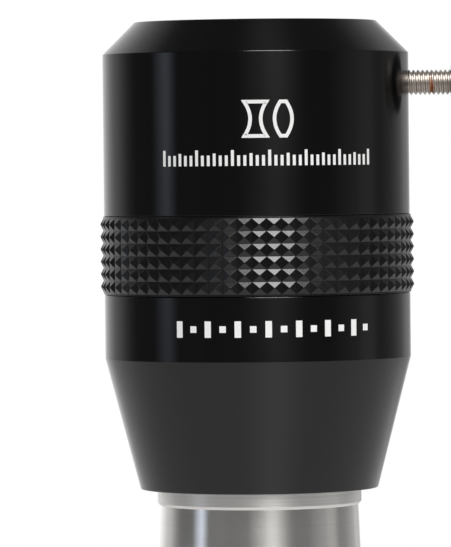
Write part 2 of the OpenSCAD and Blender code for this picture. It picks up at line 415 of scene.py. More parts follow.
def knurled_band(name, inner_r, root_r, tip_r, bottom, top, margin, columns, rows, turn=0.0):
    """A closed band with square-based points in straight rows and columns."""
    pitch = 2 * pi / columns
    step = (top - bottom - 2 * margin) / rows
    flat = 0.06
    verts, faces = [], []

    def point(r, a, z):
        verts.append((r * MM * sin(a + turn), -r * MM * cos(a + turn), z * MM))
        return len(verts) - 1

    levels = [(inner_r, bottom), (root_r, bottom)]
    levels += [(root_r, bottom + margin + i * step) for i in range(rows + 1)]
    levels += [(root_r, top), (inner_r, top)]
    grid = [[point(r, (k - 0.5) * pitch, z) for r, z in levels] for k in range(columns)]
    for k in range(columns):
        here, there = grid[k], grid[(k + 1) % columns]
        for i in range(len(levels)):
            j = (i + 1) % len(levels)
            if not 2 <= i < 2 + rows:
                faces.append((here[i], there[i], there[j], here[j]))
                continue
            middle = (levels[i][1] + levels[j][1]) / 2
            side = flat / tip_r
            peak = [point(tip_r, k * pitch + a, middle + z)
                    for a, z in ((-side, -flat), (side, -flat), (side, flat), (-side, flat))]
            foot = [here[i], there[i], there[j], here[j]]
            faces.append(tuple(peak))
            faces += [(foot[n], foot[(n + 1) % 4], peak[(n + 1) % 4], peak[n])
                      for n in range(4)]
    piece = new_piece(name, verts, faces)
    soften(piece, 0.05, 2)
    return piece


def soften(piece, width, segments=2):
    """Rounds a piece's edges by a width in millimetres and keeps its flats flat."""
    bevel = piece.modifiers.new("Soft edges", "BEVEL")
    bevel.width = width * MM
    bevel.segments = segments
    bevel.limit_method = "ANGLE"
    bevel.angle_limit = radians(15)
    bevel.harden_normals = True
    piece.data.polygons.foreach_set("use_smooth", [True] * len(piece.data.polygons))


# ---------------------------------------------------------------- materials


def shade_of(colour, strength):
    """A colour made lighter or darker."""
    return tuple(strength * part for part in colour)


def add(tree, kind, inputs=None, **settings):
    """A new shader node, with its settings and with its inputs set or linked."""
    node = tree.nodes.new("ShaderNode" + kind)
    for name, value in settings.items():
        setattr(node, name, value)
    for name, value in (inputs or {}).items():
        if isinstance(value, bpy.types.Node):
            value = value.outputs[0]
        if isinstance(value, bpy.types.NodeSocket):
            tree.links.new(value, node.inputs[name])
        else:
            node.inputs[name].default_value = value
    return node


def ramp(tree, factor, stops, interpolation="LINEAR"):
    """A colour ramp through stops of (position, colour)."""
    node = add(tree, "ValToRGB", {"Fac": factor})
    node.color_ramp.interpolation = interpolation
    elements = node.color_ramp.elements
    while len(elements) < len(stops):
        elements.new(1.0)
    for element, (position, colour) in zip(elements, stops):
        element.position = position
        element.color = (*colour, 1)
    return node


def between(tree, factor, low_value, high_value):
    """A number that goes from low to high as factor goes from 0 to 1."""
    return add(tree, "MapRange", {"Value": factor, "To Min": low_value, "To Max": high_value})


def surface(name, colour, metallic, **sockets):
    """A new material with its shader, and its coordinates in millimetres."""
    material = bpy.data.materials.new(name)
    material.use_nodes = True
    tree = material.node_tree
    shader = tree.nodes["Principled BSDF"]
    shader.inputs["Base Color"].default_value = (*colour, 1)
    shader.inputs["Metallic"].default_value = metallic
    for socket, value in sockets.items():
        shader.inputs[socket.replace("_", " ").title().replace("Ior", "IOR")].default_value = value
    place = add(tree, "VectorMath", {0: add(tree, "TexCoord").outputs["Object"],
                                     1: (1000, 1000, 1000)}, operation="MULTIPLY")
    return material, tree, shader, place.outputs[0]


def turning(tree, place, scale, axis="Z"):
    """A number that changes from one turned line to the next, and little along a line."""
    parts = add(tree, "SeparateXYZ", {0: place})
    x, y, z = parts.outputs
    if axis == "X":
        z, x = x, add(tree, "Math", {0: z, 1: SCREW_Z}, operation="SUBTRACT").outputs[0]
    square = [add(tree, "Math", {0: part, 1: 2.0}, operation="POWER") for part in (x, y)]
    radius = add(tree, "Math", {0: add(tree, "Math", {0: square[0], 1: square[1]})},
                 operation="SQRT")
    around = add(tree, "Math", {0: y, 1: x}, operation="ARCTAN2")
    slow = add(tree, "Math", {0: around, 1: 0.35 / scale}, operation="MULTIPLY")
    lines = add(tree, "CombineXYZ", {0: radius, 1: slow, 2: z})
    return add(tree, "TexNoise", {"Vector": lines, "Scale": scale, "Detail": 3.0})


def tangent_round(tree, shader, axis, anisotropic):
    """Stretches reflections across the turned lines."""
    shader.inputs["Anisotropic"].default_value = anisotropic
    shader.inputs["Anisotropic Rotation"].default_value = 0.25
    tangent = add(tree, "Tangent", direction_type="RADIAL", axis=axis)
    tree.links.new(tangent.outputs[0], shader.inputs["Tangent"])


def bump(tree, shader, height, depth):
    """Raises a surface by up to a depth in millimetres."""
    node = add(tree, "Bump", {"Height": height, "Distance": depth * MM, "Strength": 1.0})
    tree.links.new(node.outputs[0], shader.inputs["Normal"])
    return node


def set_from(tree, shader, socket, value):
    tree.links.new(value.outputs[0], shader.inputs[socket])


def colours():
    return bpy.context.scene.barlow_colours


def gloss_black():
    """Hard anodising over a fine turned surface, with faint finger marks."""
    material, tree, shader, place = surface("gloss_black_anodising", colours().gloss_black, 0)
    tangent_round(tree, shader, "Z", 0.8)
    marks = add(tree, "TexNoise", {"Vector": place, "Scale": 0.11, "Detail": 5.0})
    specks = add(tree, "TexNoise", {"Vector": place, "Scale": 6.0, "Detail": 2.0})
    marks = add(tree, "Math", {0: marks, 1: add(tree, "Math", {0: specks, 1: 0.25},
                                                operation="MULTIPLY")})
    set_from(tree, shader, "Roughness", between(tree, marks, 0.14, 0.19))
    lines = turning(tree, place, 9.0)
    bump(tree, shader, lines, 0.0006)
    return material


def grip_black():
    """Satin anodising over cut points, with paler and darker grain."""
    black = colours().grip_black
    material, tree, shader, place = surface("grip_black_anodising", black, 0)
    cloud = add(tree, "TexNoise", {"Vector": place, "Scale": 0.35, "Detail": 4.0})
    grain = add(tree, "TexNoise", {"Vector": place, "Scale": 8.0, "Detail": 4.0})
    set_from(tree, shader, "Roughness", between(tree, cloud, 0.22, 0.33))
    shade = ramp(tree, grain, [(0.3, shade_of(black, 0.7)), (0.75, shade_of(black, 2.2))])
    set_from(tree, shader, "Base Color", shade)
    bump(tree, shader, grain, 0.008)
    return material


def matt_black():
    """Dull anti-reflection finish with a fine grain."""
    black = colours().matt_black
    material, tree, shader, place = surface("matt_black_finish", black, 0)
    grain = add(tree, "TexNoise", {"Vector": place, "Scale": 9.0, "Detail": 4.0})
    shade = ramp(tree, grain, [(0.3, shade_of(black, 0.6)), (0.7, shade_of(black, 1.8))])
    set_from(tree, shader, "Base Color", shade)
    set_from(tree, shader, "Roughness", between(tree, grain, 0.5, 0.7))
    bump(tree, shader, turning(tree, place, 4.0), 0.006)
    return material


def turned_aluminium():
    """Bright aluminium, with its turning lines and a little handling haze."""
    metal = colours().aluminium
    material, tree, shader, place = surface("turned_aluminium", metal, 1)
    tangent_round(tree, shader, "Z", 0.82)
    lines = turning(tree, place, 5.0)
    haze = add(tree, "TexNoise", {"Vector": place, "Scale": 0.16, "Detail": 5.0})
    set_from(tree, shader, "Roughness", between(tree, haze, 0.17, 0.22))
    shade = ramp(tree, lines, [(0.3, shade_of(metal, 0.93)), (0.6, tuple(metal))])
    set_from(tree, shader, "Base Color", shade)
    bump(tree, shader, lines, 0.0012)
    return material


def collar_aluminium():
    """The collar's duller aluminium, rubbed by focusers."""
    metal = colours().aluminium
    material, tree, shader, place = surface("collar_aluminium", metal, 1)
    tangent_round(tree, shader, "Z", 0.7)
    lines = turning(tree, place, 7.0)
    rub = add(tree, "TexNoise", {"Vector": place, "Scale": 0.5, "Detail": 5.0})
    set_from(tree, shader, "Roughness", between(tree, rub, 0.38, 0.46))
    shade = ramp(tree, lines, [(0.3, shade_of(metal, 0.85)), (0.65, tuple(metal))])
    set_from(tree, shader, "Base Color", shade)
    bump(tree, shader, lines, 0.003)
    return material


def stainless():
    """Bright steel thread, with one small rust spot low on its front."""
    metal, rust = colours().stainless, colours().rust
    material, tree, shader, place = surface("stainless_steel", metal, 1)
    spot_place = (27.4, -1.4, SCREW_Z - 0.8)
    away = add(tree, "VectorMath", {0: place, 1: spot_place}, operation="SUBTRACT")
    away = add(tree, "VectorMath", {0: away, 1: (1.5, 0.45, 0.4)}, operation="MULTIPLY")
    spot = add(tree, "VectorMath", {0: away}, operation="LENGTH").outputs["Value"]
    ragged = add(tree, "TexNoise", {"Vector": place, "Scale": 3.0, "Detail": 4.0})
    reach = add(tree, "Math", {0: spot, 1: add(tree, "Math", {0: ragged, 1: 0.9},
                                               operation="MULTIPLY")})
    mask = add(tree, "MapRange", {"Value": reach, "From Min": 0.75, "From Max": 1.15,
                                  "To Min": 1.0, "To Max": 0.0})
    mix = add(tree, "Mix", {0: mask, 6: (*metal, 1), 7: (*rust, 1)}, data_type="RGBA")
    tree.links.new(mix.outputs[2], shader.inputs["Base Color"])
    set_from(tree, shader, "Metallic", between(tree, mask, 1.0, 0.1))
    dull = add(tree, "TexNoise", {"Vector": place, "Scale": 1.6, "Detail": 4.0})
    rough = between(tree, dull, 0.35, 0.48)
    rougher = add(tree, "Math", {0: mask, 1: 0.4, 2: rough}, operation="MULTIPLY_ADD")
    set_from(tree, shader, "Roughness", rougher)
    bump(tree, shader, turning(tree, place, 12.0, "X"), 0.002)
    return material


def dull_steel():
    """Steel of the thumbscrew's head, in a darker tone than the thread's steel."""
    metal = shade_of(colours().stainless, 0.42)
    material, tree, shader, place = surface("dull_steel", metal, 1)
    stain = add(tree, "TexNoise", {"Vector": place, "Scale": 0.9, "Detail": 5.0})
    shade = ramp(tree, stain, [(0.35, shade_of(metal, 0.6)), (0.62, metal)])
    set_from(tree, shader, "Base Color", shade)
    set_from(tree, shader, "Roughness", between(tree, stain, 0.5, 0.36))
    bump(tree, shader, turning(tree, place, 12.0, "X"), 0.002)
    return material


def brass():
    """Satin brass, darker where it has tarnished."""
    metal = colours().brass
    material, tree, shader, place = surface("satin_brass", metal, 1)
    tarnish = add(tree, "TexNoise", {"Vector": place, "Scale": 0.6, "Detail": 5.0})
    shade = ramp(tree, tarnish, [(0.35, shade_of(metal, 0.62)), (0.6, tuple(metal))])
    set_from(tree, shader, "Base Color", shade)
    set_from(tree, shader, "Roughness", between(tree, tarnish, 0.38, 0.24))
    bump(tree, shader, turning(tree, place, 7.0), 0.002)
    return material


def blackened_steel():
    """Oiled black steel on the grub screws, and painted shade on the thumbscrew head's faces
    towards the body.
    """
    material, tree, shader, place = surface("blackened_steel", (0.05, 0.05, 0.055), 1)
    grain = add(tree, "TexNoise", {"Vector": place, "Scale": 5.0, "Detail": 4.0})
    set_from(tree, shader, "Roughness", between(tree, grain, 0.3, 0.5))
    bump(tree, shader, grain, 0.002)
    return material


def coated_glass(name, glass, coating):
    """Polished glass whose reflections take the coating's tint, with a little dust."""
    material, tree, shader, place = surface(
        name, glass, 0, transmission_weight=1.0, ior=1.52, specular_tint=(*coating, 1))
    dust = add(tree, "TexNoise", {"Vector": place, "Scale": 7.0, "Detail": 3.0})
    rough = add(tree, "MapRange", {"Value": dust, "From Min": 0.68, "From Max": 0.8,
                                   "To Min": 0.0, "To Max": 0.12})
    set_from(tree, shader, "Roughness", rough)
    return material


def crown_glass():
    return coated_glass("coated_crown_glass", (0.97, 1.0, 0.98), (0.25, 0.75, 0.5))


def flint_glass():
    return coated_glass("coated_flint_glass", (0.98, 0.98, 1.0), (0.5, 0.35, 0.85))


def white_print():
    """Screen-printed white ink, slightly uneven."""
    ink = colours().white_print
    material, tree, shader, place = surface("white_print", ink, 0)
    grain = add(tree, "TexNoise", {"Vector": place, "Scale": 5.0, "Detail": 4.0})
    shade = ramp(tree, grain, [(0.3, shade_of(ink, 0.94)), (0.6, tuple(ink))])
    set_from(tree, shader, "Base Color", shade)
    set_from(tree, shader, "Roughness", between(tree, grain, 0.5, 0.65))
    return material


FINISHES = {}


def finish(maker):
    """The material that a function makes, made once."""
    if maker not in FINISHES:
        FINISHES[maker] = maker()
    return FINISHES[maker]


def paint(piece, *makers):
    """Gives a piece its materials, in order."""
    piece.data.materials.clear()
    for maker in makers:
        piece.data.materials.append(finish(maker))
    return piece


def paint_where(piece, number, test):
    """Gives one of the piece's materials to the faces whose radius and height pass a test."""
    for face in piece.data.polygons:
        points = [piece.data.vertices[v].co / MM for v in face.vertices]
        r = sum(p.xy.length for p in points) / len(points)
        z = sum(p.z for p in points) / len(points)
        if test(r, z):
            face.material_index = number


def settle(piece, body, slot, *nodes):
    """Fixes a finished piece to its body and hides the CAD nodes it stands for. slot is not used.
    """
    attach(piece, body)
    if nodes:
        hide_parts(*nodes)
    return piece


# ---------------------------------------------------------------- pieces


class PieceOperator:
    """What the operators below share."""

    bl_options = {"REGISTER", "UNDO"}

    @property
    def edge(self):
        return bpy.context.scene.barlow_sizes.edge_round / MM


class BARLOW_OT_eyepiece_holder(PieceOperator, bpy.types.Operator):
    """Upper housing with the wide top chamfer, the eyepiece socket and the screw hole"""

    bl_idname = "barlow.eyepiece_holder"
    bl_label = "Eyepiece holder"

    def execute(self, context):
        edge = self.edge
        chamfer = 5.0
        groove_r, groove_half = 17.5, 2.7
        cell_bore = CELL_R + 0.05
        corners = [
            (cell_bore, SPIGOT_LOW, edge), (SPIGOT_R, SPIGOT_LOW, edge),
            (SPIGOT_R, GRIP_TOP), (BODY_R, GRIP_TOP, edge),
            (BODY_R, BODY_TOP - chamfer, edge), (BODY_R - chamfer, BODY_TOP, edge),
            (SOCKET_R + 0.6, BODY_TOP, 0.1), (SOCKET_R, BODY_TOP - 0.6, 0.1),
            (SOCKET_R, SCREW_Z + groove_half), (groove_r, SCREW_Z + groove_half),
            (groove_r, SCREW_Z - groove_half), (SOCKET_R, SCREW_Z - groove_half),
            (SOCKET_R, STOP_TOP), (SOCKET_R + 0.5, STOP_TOP), (SOCKET_R + 0.5, STOP_LOW),
            (cell_bore, STOP_LOW),
        ]
        hole_r, countersink = 2.03, 0.25
        screw_hole = drill([
            (0, 16), (hole_r, 16), (hole_r, BODY_R - countersink),
            (hole_r + countersink + 0.5, BODY_R + 0.5), (0, BODY_R + 0.5)], SCREW_Z)
        grub_z = (low("cell_grub_screws").z + high("cell_grub_screws").z) / 2
        grub_r, inside, outside = 1.55, 16, 23
        grub_holes = [drill([(0, inside), (grub_r, inside), (grub_r, outside), (0, outside)],
                            grub_z, radians(a)) for a in (60, 180, 300)]
        piece = turned("holder_shell", corners, [screw_hole, *grub_holes])
        paint(piece, gloss_black, matt_black)
        paint_where(piece, 1, lambda r, z: r < groove_r + 0.3 and z < BODY_TOP - 0.7)
        settle(piece, "housing", "black_anodised", "eyepiece_holder")
        return {"FINISHED"}


class BARLOW_OT_grip_ring(PieceOperator, bpy.types.Operator):
    """Knurled band round the waist, with rows of square-based points"""

    bl_idname = "barlow.grip_ring"
    bl_label = "Grip ring"

    def execute(self, context):
        sizes = context.scene.barlow_sizes
        tip = high("grip_ring").y
        piece = knurled_band(
            "grip_band", SPIGOT_R + 0.05, tip - sizes.knurl_depth / MM, tip, GRIP_LOW,
            GRIP_TOP, 0.25, sizes.knurl_columns, sizes.knurl_rows, sizes.knurl_turn)
        paint(piece, grip_black)
        settle(piece, "housing", "knurled_anodised", "grip_ring")
        return {"FINISHED"}


class BARLOW_OT_lower_housing(PieceOperator, bpy.types.Operator):
    """Short cylinder and long cone below the grip ring"""

    bl_idname = "barlow.lower_housing"
    bl_label = "Lower housing"

    def execute(self, context):
        edge = self.edge
        cone_r, cone_top = 18.5, 20.4
        recess_r, recess_h = 16.2, 0.3
        bore, step, thread = 15.05, 17.05, SPIGOT_R + 0.05
        corners = [
            (bore, recess_h), (recess_r, recess_h), (recess_r, 0, 0.05),
            (cone_r, 0, edge), (BODY_R, cone_top, edge), (BODY_R, GRIP_LOW, 0.3),
            (thread, GRIP_LOW), (thread, 23.5), (step, 23.5), (step, 11), (bore, 11),
        ]
        piece = turned("lower_shell", corners)
        paint(piece, gloss_black, matt_black)
        paint_where(piece, 1, lambda r, z: r < step + 0.1 and z > recess_h)
        settle(piece, "housing", "black_anodised", "lower_housing")
        return {"FINISHED"}


class BARLOW_OT_nosepiece(PieceOperator, bpy.types.Operator):
    """Bright nosepiece with its collar, tapered undercut and filter thread"""

    bl_idname = "barlow.nosepiece"
    bl_label = "Nosepiece"

    def execute(self, context):
        bore, cell_bore, thread_r = 12.8, 13.8, 14.25
        collar_low, bevel, undercut_r, taper_low = -2.55, 0.4, 15.4, -14.5
        thread_top = NOSE_LOW + 4.5
        spigot_r, spigot_top, collar_top = 15.0, 10.5, 0.3
        corners = [
            (bore, spigot_top, 0.1), (bore, -31.5), (cell_bore, -31.5),
            (cell_bore, thread_top), (thread_r + 0.05, thread_top),
            (thread_r + 0.05, NOSE_LOW + 0.4), (thread_r + 0.4, NOSE_LOW, 0.1),
            (NOSE_R - 0.6, NOSE_LOW, 0.1), (NOSE_R, NOSE_LOW + 0.6, 0.2),
            (NOSE_R, taper_low, 3.0), (undercut_r, collar_low, 0.04),
            (NOSE_R - bevel, collar_low, 0.03), (NOSE_R, collar_low + bevel, 0.1),
            (NOSE_R, collar_top), (spigot_r, collar_top), (spigot_r, spigot_top, 0.1),
        ]
        barrel = turned("nosepiece_tube", corners)
        paint(barrel, turned_aluminium, collar_aluminium, matt_black)
        paint_where(barrel, 1, lambda r, z: r > undercut_r and z > collar_low - 0.001)
        paint_where(barrel, 2, lambda r, z: r < spigot_r - 0.1 and z > NOSE_LOW + 0.4)
        settle(barrel, "housing", "turned_aluminium", "nosepiece_barrel")
        pitch = context.scene.barlow_sizes.filter_pitch / MM
        thread = screw_thread("filter_thread", NOSE_LOW + 0.42, thread_top, thread_r,
                              thread_r - FILTER_THREAD_DEPTH * pitch, pitch,
                              thread_r + 0.2, steps=192)
        paint(thread, turned_aluminium)
        settle(thread, "housing", "turned_aluminium")
        return {"FINISHED"}


class BARLOW_OT_thumbscrew(PieceOperator, bpy.types.Operator):
    """Steel thumbscrew with its thread, knurled head and brass pad"""

    bl_idname = "barlow.thumbscrew"
    bl_label = "Thumbscrew"

    def execute(self, context):
        pitch = context.scene.barlow_sizes.screw_pitch / MM
        tip, head = low("thumbscrew_stud").x, low("thumbscrew_head").x
        end, thread_end = high("thumbscrew_head").x, head + 4.9
        crest_r = (high("thumbscrew_stud").z - low("thumbscrew_stud").z) / 2
        root_r = crest_r - SCREW_THREAD_DEPTH * pitch
        stud = screw_thread("thumbscrew_thread", tip, thread_end, crest_r, root_r, pitch, 0.0)
        # Blind hole for the pad's stem, cut from in front of the tip
        stem_hole_r, stem_hole_start, stem_hole_end = 0.75, tip - 0.5, tip + 1.8
        cut(stud, turned("stem hole", [
            (0, stem_hole_start), (stem_hole_r, stem_hole_start),
            (stem_hole_r, stem_hole_end), (0, stem_hole_end)], segments=64))
        stud.data.set_sharp_from_angle(angle=THREAD_SHARP)
        lay_along_x(stud, SCREW_Z)
        paint(stud, stainless)
        settle(stud, "thumbscrew", "stainless_steel", "thumbscrew_stud")

        head_r, neck_r, neck = high("thumbscrew_head").y, 3.0, 0.5
        belt_r, belt_low, belt_high = head_r - 0.5, 0.9, 0.9
        hole_r, hole_end = crest_r + 0.03, head + 5.0
        corners = [
            (hole_r, head, 0.1), (neck_r, head, 0.1), (neck_r, head + neck, 0.1),
            (head_r - 0.4, head + neck, 0.1), (head_r, head + neck + 0.4, 0.1),
            (head_r, head + neck + belt_low), (belt_r, head + neck + belt_low),
            (belt_r, end - belt_high), (head_r, end - belt_high), (head_r, end - 0.5, 0.15),
            (head_r - 0.5, end, 0.2), (0, end), (0, hole_end), (hole_r, hole_end),
        ]
        knob = lay_along_x(turned("thumbscrew_knob", corners, segments=128), SCREW_Z)
        paint(knob, dull_steel, blackened_steel)
        # Painted shade and reflection: the head's faces that look towards the body take black
        # steel, standing in for the dark body and room they would mirror
        painted_shade_facing = -0.9
        for face in knob.data.polygons:
            if face.normal.x < painted_shade_facing:
                face.material_index = 1
        settle(knob, "thumbscrew", "stainless_steel", "thumbscrew_head")
        belt = knurled_band("thumbscrew_knurl", belt_r, head_r - 0.3, head_r,
                            head + neck + belt_low, end - belt_high, 0.1, 30, 4)
        lay_along_x(belt, SCREW_Z)
        paint(belt, dull_steel)
        settle(belt, "thumbscrew", "stainless_steel")

        pad, pad_end = low("thumbscrew_pad").x, high("thumbscrew_pad").x
        face_r, stem_r, thick = high("thumbscrew_pad").y, 0.7, 0.85
        tip_piece = turned("thumbscrew_tip_pad", [
            (0, pad), (face_r, pad, 0.15), (face_r, pad + thick, 0.1), (stem_r, pad + thick),
            (stem_r, pad_end, 0.1), (0, pad_end)], segments=64)
        lay_along_x(tip_piece, SCREW_Z)
        paint(tip_piece, brass)
        settle(tip_piece, "screw_pad", "brass", "thumbscrew_pad")
        return {"FINISHED"}


class BARLOW_OT_compression_ring(PieceOperator, bpy.types.Operator):
    """Split brass ring that grips the eyepiece"""

    bl_idname = "barlow.compression_ring"
    bl_label = "Compression ring"

    def execute(self, context):
        bottom, top = low("compression_ring").z, high("compression_ring").z
        outer, gap_width = high("compression_ring").y, 3.0
        inner = outer - 0.65
        piece = turned("split_ring", [
            (inner, bottom, 0.2), (outer, bottom, 0.1), (outer, top, 0.1), (inner, top, 0.2)],
            gap=2 * asin(gap_width / 2 / outer))
        paint(piece, brass)
        settle(piece, "gripping_ring", "brass", "compression_ring")
        return {"FINISHED"}


class BARLOW_OT_rear_lenses(PieceOperator, bpy.types.Operator):
    """Eyepiece stop ring, rear cell, its two cemented lenses and their retaining ring"""

    bl_idname = "barlow.rear_lenses"
    bl_label = "Rear lens group"

    def execute(self, context):
        stop_r = SOCKET_R + 0.3
        stop = turned("socket_stop_ring", [
            (high("rear_crown_lens").y + 0.3, STOP_LOW, 0.05), (stop_r, STOP_LOW),
            (stop_r, STOP_TOP - 0.02, 0.1), (13.9, STOP_TOP - 0.02, 0.1)])
        paint(stop, matt_black)
        settle(stop, "housing", "matt_black", "eyepiece_stop_ring")

        lens_r = high("rear_crown_lens").y
        lip_r, seat = lens_r - 0.8, 37.6
        bottom, top = low("rear_cell").z, high("rear_cell").z
        cell = turned("rear_lens_cell", [
            (lens_r + 0.05, bottom, 0.1), (CELL_R, bottom, 0.2), (CELL_R, top, 0.1),
            (lens_r + 0.5, top), (lip_r, seat + 1.0, 0.1), (lip_r, seat), (lens_r + 0.05, seat)])
        paint(cell, matt_black)
        settle(cell, "housing", "matt_black", "rear_cell")

        outer_curve, joint_curve, low_curve = 61.0, 45.0, 130.0
        crown_top, flint_low = high("rear_crown_lens").z, low("rear_flint_lens").z
        joint = flint_low + 3.0
        film = 0.01
        crown = turned("rear_crown_element", [
            (0, joint + film, 0, joint_curve),
            (lens_r, joint + film + depth(joint_curve, lens_r), 0.15),
            (lens_r, crown_top - depth(outer_curve, lens_r), 0.15, outer_curve),
            (0, crown_top)])
        paint(crown, crown_glass)
        settle(crown, "housing", "coated_crown_glass", "rear_crown_lens")
        rim = lens_r - 0.3
        flint = turned("rear_flint_element", [
            (0, flint_low, 0, low_curve), (lens_r, flint_low + depth(low_curve, lens_r), 0.15),
            (lens_r, joint + depth(joint_curve, rim), 0.05),
            (rim, joint + depth(joint_curve, rim), 0, -joint_curve), (0, joint)])
        paint(flint, flint_glass)
        settle(flint, "housing", "coated_flint_glass", "rear_flint_lens")

        bottom, top = low("rear_retaining_ring").z, high("rear_retaining_ring").z
        outer, inner = high("rear_retaining_ring").y, lens_r - 1.6
        ring = turned("rear_retainer", [
            (inner, bottom, 0.15), (outer, bottom, 0.1), (outer, top, 0.05), (inner, top, 0.1)],
            [slot_bar(SLOT_REACH, 1.2, 0.8, bottom)])
        paint(ring, matt_black)
        settle(ring, "housing", "matt_black", "rear_retaining_ring")
        return {"FINISHED"}


def depth(curve, r):
    """How far a lens surface falls back from its vertex at a radius."""
    return curve - sqrt(curve * curve - r * r)


class BARLOW_OT_front_lenses(PieceOperator, bpy.types.Operator):
    """Front cell, its two cemented lenses and the slotted rings that hold them"""

    bl_idname = "barlow.front_lenses"
    bl_label = "Front lens group"

    def execute(self, context):
        lens_r = high("front_biconcave_lens").y
        bottom, top = low("front_cell").z, high("front_cell").z
        cell_r, lip_r, seat = high("front_cell").y, lens_r - 0.8, bottom + 1.0
        cell = turned("front_lens_cell", [
            (lip_r, bottom, 0.15), (cell_r, bottom, 0.1), (cell_r, top, 0.1),
            (lens_r + 0.05, top, 0.1), (lens_r + 0.05, seat), (lip_r, seat, 0.1)])
        paint(cell, matt_black)
        settle(cell, "housing", "matt_black", "front_cell")

        rim = lens_r - 0.3
        low_curve, joint_curve, high_curve = 28.0, 22.0, 60.0
        low_vertex = seat + depth(low_curve, rim)
        joint = low_vertex + 1.8
        top_vertex = joint + 4.0
        rim_joint = joint + depth(joint_curve, rim)
        film = 0.01
        biconcave = turned("front_concave_element", [
            (0, low_vertex, 0, -low_curve), (rim, seat, 0.03), (lens_r, seat, 0.1),
            (lens_r, rim_joint, 0.1), (rim, rim_joint, 0, -joint_curve), (0, joint)])
        paint(biconcave, crown_glass)
        settle(biconcave, "housing", "coated_crown_glass", "front_biconcave_lens")
        rim_top = top_vertex + depth(high_curve, rim)
        meniscus = turned("front_meniscus_element", [
            (0, joint + film, 0, joint_curve),
            (lens_r, joint + film + depth(joint_curve, lens_r), 0.1),
            (lens_r, rim_top, 0.1), (rim, rim_top, 0, -high_curve), (0, top_vertex)])
        paint(meniscus, flint_glass)
        settle(meniscus, "housing", "coated_flint_glass", "front_meniscus_lens")

        rings = (("front_lock_ring", "front_locker", 10.6, 1.2, 0.7),
                 ("front_retaining_ring", "front_retainer", lens_r - 1.2, 1.0, 0.6))
        for node, name, inner, width, slot_depth in rings:
            bottom, top, outer = low(node).z, high(node).z, high(node).y
            face = bottom if node == "front_lock_ring" else top
            ring = turned(name, [
                (inner, bottom, 0.1), (outer, bottom, 0.1), (outer, top, 0.1), (inner, top, 0.1)],
                [slot_bar(SLOT_REACH, width, slot_depth, face)])
            paint(ring, matt_black)
            settle(ring, "housing", "matt_black", node)
        return {"FINISHED"}


class BARLOW_OT_inner_parts(PieceOperator, bpy.types.Operator):
    """Gives the glare stops and the grub screws their finishes"""

    bl_idname = "barlow.inner_parts"
    bl_label = "Glare stops and grub screws"

    def execute(self, context):
        for node in ("nosepiece_stop_ring", "housing_stop_ring"):
            paint(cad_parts[node], matt_black)
        paint(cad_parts["cell_grub_screws"], blackened_steel)
        return {"FINISHED"}


# ---------------------------------------------------------------- printed marks


def ribbons(name, lines, width, lift):
    """White lines of one width, wrapped round the body.

    A line is a list of (distance round the body from its front, height) points."""
    verts, faces = [], []
    for line in lines:
        points = [Vector(line[0])]
        for end in line[1:]:
            start, end = points[-1], Vector(end)
            steps = max(1, ceil((end - start).length / 0.4))
            points += [start.lerp(end, k / steps) for k in range(1, steps + 1)]
        first = len(verts)
        closed = (points[0] - points[-1]).length < 1e-6
        if closed:
            points.pop()
        count = len(points)
        for i, here in enumerate(points):
            before = points[i - 1] if i or closed else here - (points[1] - here)
            after = points[(i + 1) % count] if i < count - 1 or closed else here * 2 - before
            one, two = (here - before).normalized(), (after - here).normalized()
            along = (one + two).normalized()
            side = Vector((-along.y, along.x)) * (width / 2 / max(along.dot(one), 0.5))
            for flank, out in ((side, lift), (-side, lift), (-side, -0.03), (side, -0.03)):
                s, z = here + flank
                r = BODY_R + out
                verts.append((r * MM * sin(s / BODY_R), -r * MM * cos(s / BODY_R), z * MM))
        for i in range(count if closed else count - 1):
            a, b = first + 4 * i, first + 4 * ((i + 1) % count)
            faces += [(a + n, b + n, b + (n + 1) % 4, a + (n + 1) % 4) for n in range(4)]
        if not closed:
            faces += [tuple(first + n for n in range(4)),
                      tuple(first + 4 * (count - 1) + n for n in range(4))]
    piece = new_piece(name, verts, faces, radians(30))
    paint(piece, white_print)
    return settle(piece, "housing", "white_print")


def bow(x, bottom, top, bulge, steps=12):
    """Points up a shallow curve that bulges sideways by a distance."""
    return [(x + bulge * (1 - (2 * k / steps - 1) ** 2), bottom + (top - bottom) * k / steps)
            for k in range(steps + 1)]


class BARLOW_OT_markings(PieceOperator, bpy.types.Operator):
    """White lens sketch, scale and row of dashes on the two housings"""

    bl_idname = "barlow.markings"
    bl_label = "Printed marks"

    def execute(self, context):
        lift = context.scene.barlow_sizes.print_lift / MM
        mm_per_degree = BODY_R * pi / 180

        middle, z, half_h, stroke = 4.4 * mm_per_degree, 57.3, 2.6, 0.55
        concave = (bow(middle - 3.6, z - half_h, z + half_h, 0.9)
                   + bow(middle - 0.2, z - half_h, z + half_h, -0.9)[::-1])
        convex = (bow(middle + 1.9, z - half_h, z + half_h, -0.9)
                  + bow(middle + 2.8, z - half_h, z + half_h, 0.9)[::-1])
        ribbons("lens_sketch", [line + line[:1] for line in (concave, convex)], stroke, lift)

        first, last, scale_z, count = -36.0, 45.8, 51.4, 36
        ticks = []
        for k in range(count + 1):
            s = (first + (last - first) * k / count) * mm_per_degree
            height = 2.4 if k % 6 == 0 else 1.9 if k % 3 == 0 else 1.6
            ticks.append([(s, scale_z - 1.2), (s, scale_z - 1.2 + height)])
        tick_width, dash_width = 0.46, 1.0
        ribbons("scale_ticks", ticks, tick_width, lift)

        first, last, row_z, count = -30.0, 43.5, 25.4, 14
        dashes = []
        for k in range(count):
            s = (first + (last - first) * k / (count - 1)) * mm_per_degree
            half = 1.25 if k % 2 == 0 else 0.5
            dashes.append([(s, row_z - half), (s, row_z + half)])
        ribbons("dash_row", dashes, dash_width, lift)
        return {"FINISHED"}


# ---------------------------------------------------------------- studio


